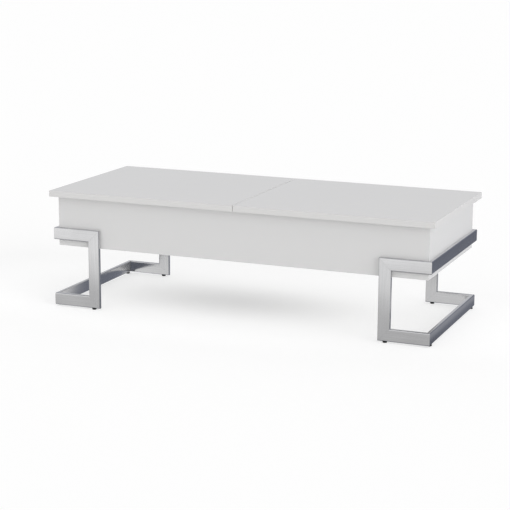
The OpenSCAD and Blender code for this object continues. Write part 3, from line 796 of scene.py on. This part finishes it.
# ---------------------------------------------------------------------------------------------
# Arms
# Main arms, each with its short crank for the spring, and follower arms, all blanked from 3 mm steel
# and powder coated. A tube, welded between the two main arms of a half, makes them move as one.

for half, place in units:
    for kind in ("main", "follower"):
        eased_copy(f"{half}_{place}_{kind}_arm", powder_coat, 0.4 * MM, 2, f"{half}_{place}_{kind}_lever")

for half in ("left", "right"):
    low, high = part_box(f"{half}_cross_bar")
    bar_length, bar_radius = high.x - low.x, (high.z - low.z) / 2
    bore, bead, bead_steps = bar_radius - 1.5 * MM, 1.6 * MM, 4
    weld = []
    for step in range(bead_steps + 1):
        angle = math.pi / 2 * step / bead_steps
        weld.append((bar_radius + bead * (1 - math.sin(angle)), bead * (1 - math.cos(angle))))
    far_weld = [(radius, bar_length - height) for radius, height in reversed(weld)]
    builder = closed_up(revolve([(bore, 0), *weld, *far_weld, (bore, bar_length), (bore, 0)], 40))
    bmesh.ops.rotate(builder, verts=builder.verts, matrix=Matrix.Rotation(math.pi / 2, 3, "Y"))
    bmesh.ops.translate(builder, verts=builder.verts, vec=(low.x, (low.y + high.y) / 2, (low.z + high.z) / 2))
    finished(f"{half}_cross_tube", plain_mesh("cross_tube", builder), powder_coat, f"{half}_arms",
             f"{half}_cross_bar")


# ---------------------------------------------------------------------------------------------
# Springs
# Four extension springs of 2 mm steel wire, forty turns each. They are stretched while the top is down,
# pull on the cranks as it rises and close up. A loop at each end hooks on a pin's waist.

def bend_between(start, lead_in, end, lead_out, count):
    """Points inside a smooth bend from one point and direction to another."""
    points = []
    for step in range(1, count):
        t = step / count
        points.append((2 * t**3 - 3 * t**2 + 1) * start + (t**3 - 2 * t**2 + t) * lead_in
                      + (3 * t**2 - 2 * t**3) * end + (t**3 - t**2) * lead_out)
    return points


def spring_path(box, wire, turns=40, steps=24):
    """The middle of one spring's wire: a loop, the coil and the other loop, as a chain of points."""
    low, high = box
    loop_y, loop_z = 4.4 * MM, 3.5 * MM
    pin_inset = loop_z + wire
    coil_inset = pin_inset + loop_z + 2.2 * MM
    coil_radius = (high.x - low.x) / 2 - wire
    centre_x, centre_z = (low.x + high.x) / 2, (low.z + high.z) / 2
    loop_steps, loop_start, loop_turn, pull = 20, -160, 280, 7

    def hook(pin_y, out, hand):
        """From the loop's free end, round the pin's waist and up on to the coil."""
        loop = []
        for step in range(loop_steps + 1):
            angle = math.radians(loop_start + loop_turn * step / loop_steps)
            loop.append(Vector((0, out * loop_y * math.cos(angle), loop_z * math.sin(angle))))
        rise = bend_between(loop[-1], (loop[-1] - loop[-2]).normalized() * pull * MM,
                            Vector((0, -out * (coil_inset - pin_inset), coil_radius)),
                            Vector((hand * pull * MM, 0, 0)), 8)
        return [Vector((centre_x, pin_y, centre_z)) + point for point in loop + rise]

    first, last = high.y - coil_inset, low.y + coil_inset
    coil = []
    for step in range(turns * steps + 1):
        angle = math.tau * step / steps
        coil.append(Vector((centre_x + coil_radius * math.sin(angle),
                            first + (last - first) * step / (turns * steps),
                            centre_z + coil_radius * math.cos(angle))))
    return [*hook(high.y - pin_inset, 1, 1), *coil, *reversed(hook(low.y + pin_inset, -1, -1))]


def wire_tree():
    """Geometry Nodes: a round wire along a chain of edges."""
    tree, start = new_geometry_tree("round_wire", Wire_Radius="Float", Sides="Int", Finish="Material")
    path = add_node(tree, "GeometryNodeMeshToCurve", Mesh=start["Geometry"])
    section = add_node(tree, "GeometryNodeCurvePrimitiveCircle", Radius=start["Wire Radius"],
                       Resolution=start["Sides"])
    swept = add_node(tree, "GeometryNodeCurveToMesh", Curve=path.outputs[0], Profile_Curve=section.outputs[0],
                     Fill_Caps=True)
    return end_geometry_tree(tree, swept.outputs[0], start["Finish"])


WIRE_TREE = wire_tree()
wire_radius, least_outside, pin_from_tip = 1.0 * MM, 12 * MM, 4.5 * MM
for half in ("left", "right"):
    # Each spring in the CAD is a plain sleeve; its outer skin gives the size, and its bore is passed over
    sleeves = [box for box in islands(f"{half}_springs") if box[1].x - box[0].x > least_outside]
    points, edges = [], []
    for sleeve in sleeves:
        chain = spring_path(sleeve, wire_radius)
        edges += [(len(points) + i, len(points) + i + 1) for i in range(len(chain) - 1)]
        points += chain
    path_mesh = bpy.data.meshes.new("spring_paths")
    path_mesh.from_pydata(points, edges, [])
    mesh = grown_mesh("spring_wires", path_mesh, WIRE_TREE, Wire_Radius=wire_radius, Sides=10, Finish=zinc)
    mesh.polygons.foreach_set("use_smooth", [True] * len(mesh.polygons))
    springs = finished(f"{half}_spring_wires", mesh, zinc, "base", f"{half}_springs")
    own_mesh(springs)


# ---------------------------------------------------------------------------------------------
# Top brackets
# Each top half hangs on two folded steel brackets, powder coated like the arms. A shouldered rivet and a
# nylon washer join each arm to its bracket, and three screws hold each flange under the top.

for half in ("left", "right"):
    body = f"{half}_top_half"
    for place in ("outer", "inner"):
        eased_copy(f"{half}_{place}_top_bracket", powder_coat, 0.4 * MM, 2, f"{half}_{place}_angle_bracket")
    top_rivet_length = min(size_of(f"{half}_top_rivets"))
    top_rivet = template("top_rivet_pattern", revolve(
        rivet_outline(top_rivet_length, 8 * MM, 1.8 * MM, 6.4 * MM, 1.3 * MM), 40))
    placed_copies(f"{half}_top_rivet_set", top_rivet, placed_on(f"{half}_top_rivets", off_panel), zinc, body,
                  f"{half}_top_rivets")
    top_washer = washer_pattern("top_washer_pattern", f"{half}_top_washers")
    placed_copies(f"{half}_top_washer_set", top_washer, placed_on(f"{half}_top_washers", off_panel), nylon,
                  body, f"{half}_top_washers")
    top_screw = screw_pattern("top_screw_pattern", max(size_of(f"{half}_top_screws")))
    placed_copies(f"{half}_top_screw_set", top_screw,
                  placed_on(f"{half}_top_screws", lambda centre, half_size: (0, 0, 1)), zinc, body,
                  f"{half}_top_screws", turn=math.tau, seed=2)
    for pattern in (top_rivet, top_washer, top_screw):
        bpy.data.objects.remove(pattern)


# ---------------------------------------------------------------------------------------------
# Tops
# Two 18 mm boards side by side, lacquered and polished on every side like the case. A 2 mm seam runs
# between them, and their edges are rounded by a millimetre.

top_lacquer = lacquer("top_lacquer", (0.81, 0.803, 0.797), (0.795, 0.788, 0.782))
for half in ("left", "right"):
    eased_copy(f"{half}_top", top_lacquer, 1.0 * MM, 3, f"{half}_top_board")


# ---------------------------------------------------------------------------------------------
# Studio: floor, light and camera
# A white seamless floor with a weak soft shadow, partly real and partly painted, and a pale sky all round
# with a broad light from the right. In painted reflections the bright steel sees a darker room behind the
# table than the floor in front of it.

floor_reach = 40.0
corners = [(x * floor_reach, y * floor_reach, 0) for x, y in ((-1, -1), (1, -1), (1, 1), (-1, 1))]
floor_mesh = bpy.data.meshes.new("studio_floor")
floor_mesh.from_pydata(corners, [], [(0, 1, 2, 3)])
in_scene("studio_floor", floor_mesh)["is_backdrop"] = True
floor_material, tree, shader, vector = new_material("pale_studio_floor")
floor_mesh.materials.append(floor_material)


def painted_floor_patch(middle, reach, full_to, gone_at, strength):
    """A soft oval patch of painted light on the floor; a negative strength makes it painted shade. Distances
    are shares of its reach.
    """
    shifted = add_node(tree, "ShaderNodeVectorMath", {"operation": "SUBTRACT"}, _0=vector, _1=middle)
    shares = add_node(tree, "ShaderNodeVectorMath", {"operation": "DIVIDE"}, _0=shifted.outputs[0], _1=reach)
    away = add_node(tree, "ShaderNodeVectorMath", {"operation": "LENGTH"}, _0=shares.outputs[0])
    return remap(tree, away.outputs["Value"], full_to, gone_at, strength, 0.0, smooth=True)


# The floor as the eye sees it: an even glow, with a painted pool of light round the table and a painted
# shadow under the middle of it
rays = tree.nodes.new("ShaderNodeLightPath").outputs
painted_light_round_table = painted_floor_patch((-0.14, 0, 0), (0.72, 0.3, 1), 1.0, 1.8, 0.052)
painted_shadow_under_table = painted_floor_patch((-0.11, 0.02, 0), (0.5, 0.25, 1), 0.0, 1.0, -0.17)
seen_glow = math_node(tree, "ADD", math_node(tree, "ADD", painted_light_round_table, painted_shadow_under_table), 0.525)
shader.inputs["Base Color"].default_value = (0.55, 0.55, 0.55, 1)
shader.inputs["Roughness"].default_value = 0.9
shader.inputs["Specular IOR Level"].default_value = 0.0
shader.inputs["Emission Color"].default_value = (1, 1, 1, 1)
glow = remap(tree, rays["Is Camera Ray"], 0.0, 1.0, 0.22, seen_glow)
tree.links.new(glow, shader.inputs["Emission Strength"])

# The floor as the steel mirrors it: a painted reflection. It lets the sky's painted reflection tone through,
# dimmed by place, darkest just in front of the table, and adds a painted pale strip to the right
across = add_node(tree, "ShaderNodeSeparateXYZ", Vector=vector).outputs
near = remap(tree, across["Y"], -0.95, -0.42, 1.0, 0.64, smooth=True)
under = remap(tree, across["Y"], -0.25, 0.0, 0.0, 0.2, smooth=True)
rightward = remap(tree, across["X"], -0.7, 0.7, 1.0, 0.88)
painted_reflection_share = math_node(tree, "MULTIPLY", math_node(tree, "ADD", near, under), rightward)
painted_reflection_dimming = add_node(tree, "ShaderNodeCombineColor", _0=painted_reflection_share, _1=painted_reflection_share, _2=painted_reflection_share)
mirrored = add_node(tree, "ShaderNodeBsdfTransparent", Color=painted_reflection_dimming.outputs[0])
beside = remap(tree, across["X"], 0.6, 0.63, smooth=True)
before = remap(tree, across["Y"], 0.35, 0.6, 0.16, 0.0, smooth=True)
painted_pale_reflection = add_node(tree, "ShaderNodeEmission", Color=(1, 1, 1, 1),
                Strength=math_node(tree, "MULTIPLY", beside, before))
seen = add_node(tree, "ShaderNodeAddShader", _0=mirrored.outputs[0], _1=painted_pale_reflection.outputs[0])
chosen = add_node(tree, "ShaderNodeMixShader", _0=rays["Is Glossy Ray"], _1=shader.outputs[0],
                  _2=seen.outputs[0])

# From below the floor is not there
facing = tree.nodes.new("ShaderNodeNewGeometry")
unseen = tree.nodes.new("ShaderNodeBsdfTransparent")
one_sided = add_node(tree, "ShaderNodeMixShader", _0=facing.outputs["Backfacing"], _1=chosen.outputs[0],
                     _2=unseen.outputs[0])
tree.links.new(one_sided.outputs[0], tree.nodes["Material Output"].inputs["Surface"])

world = bpy.data.worlds.new("studio")
bpy.context.scene.world = world
world.use_nodes = True
tree = world.node_tree
rays = tree.nodes.new("ShaderNodeLightPath").outputs
# The sky lights the table with an even grey. Only reflections see the painted reflection tone: a painted dark
# wall behind the table, painted dark straight up and straight down, and a painted dark flag to the right,
# white elsewhere.
direction = tree.nodes.new("ShaderNodeTexCoord").outputs["Generated"]
toward = add_node(tree, "ShaderNodeSeparateXYZ", Vector=direction).outputs
behind = remap(tree, toward["Y"], 0.4, 0.8, smooth=True)
overhead = remap(tree, math_node(tree, "ABSOLUTE", toward["Z"]), 0.6, 0.85, smooth=True)
painted_dark_flag = math_node(tree, "MULTIPLY", remap(tree, toward["X"], 0.6, 0.78, smooth=True),
                 remap(tree, toward["Y"], 0.0, 0.2, 1.0, 0.0, smooth=True))
gap = math_node(tree, "MULTIPLY", remap(tree, toward["X"], 0.0, 0.15, smooth=True),
                remap(tree, toward["X"], 0.68, 0.84, 1.0, 0.0, smooth=True))
above = remap(tree, toward["Z"], 0.0, 0.15, smooth=True)
share = add_node(tree, "ShaderNodeMix", {"data_type": "FLOAT"}, _0=above, _2=gap,
                 _3=math_node(tree, "MAXIMUM", gap, 0.5))
painted_dark_wall = math_node(tree, "MULTIPLY", behind, share.outputs[0])
painted_dark_share = math_node(tree, "MAXIMUM", math_node(tree, "MAXIMUM", painted_dark_wall, overhead), painted_dark_flag)
painted_reflection_tone = mix_color(tree, painted_dark_share, (1.0, 1.0, 1.0, 1), (0.215, 0.23, 0.28, 1))
sky_tone = mix_color(tree, rays["Is Glossy Ray"], (0.72, 0.72, 0.72, 1), painted_reflection_tone)
tree.links.new(sky_tone, tree.nodes["Background"].inputs["Color"])
tree.nodes["Background"].inputs["Strength"].default_value = 1.0

broad_light = bpy.data.lights.new("broad_light", "SUN")
broad_light.energy = 2.15
broad_light.angle = math.radians(60)
lamp = in_scene("broad_light", broad_light)
lamp.visible_glossy = False
lamp.rotation_euler = Vector((0.97, -0.27, 0.12)).to_track_quat("Z", "Y").to_euler()

camera_data = bpy.data.cameras.new("camera")
camera_data.sensor_width = 36.0
camera_data.lens = 106.92
camera_data.clip_end = 200.0
camera = in_scene("camera", camera_data)
yaw, pitch, roll = math.radians(22.39), math.radians(12.524), math.radians(0.318)
camera.location = (1.6737, -4.1452, 1.1531)
camera.rotation_euler = (Matrix.Rotation(yaw, 3, "Z") @ Matrix.Rotation(math.pi / 2 - pitch, 3, "X")
                         @ Matrix.Rotation(roll, 3, "Z")).to_euler()
bpy.context.scene.camera = camera
bpy.context.scene.view_settings.view_transform = "Standard"

low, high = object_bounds()
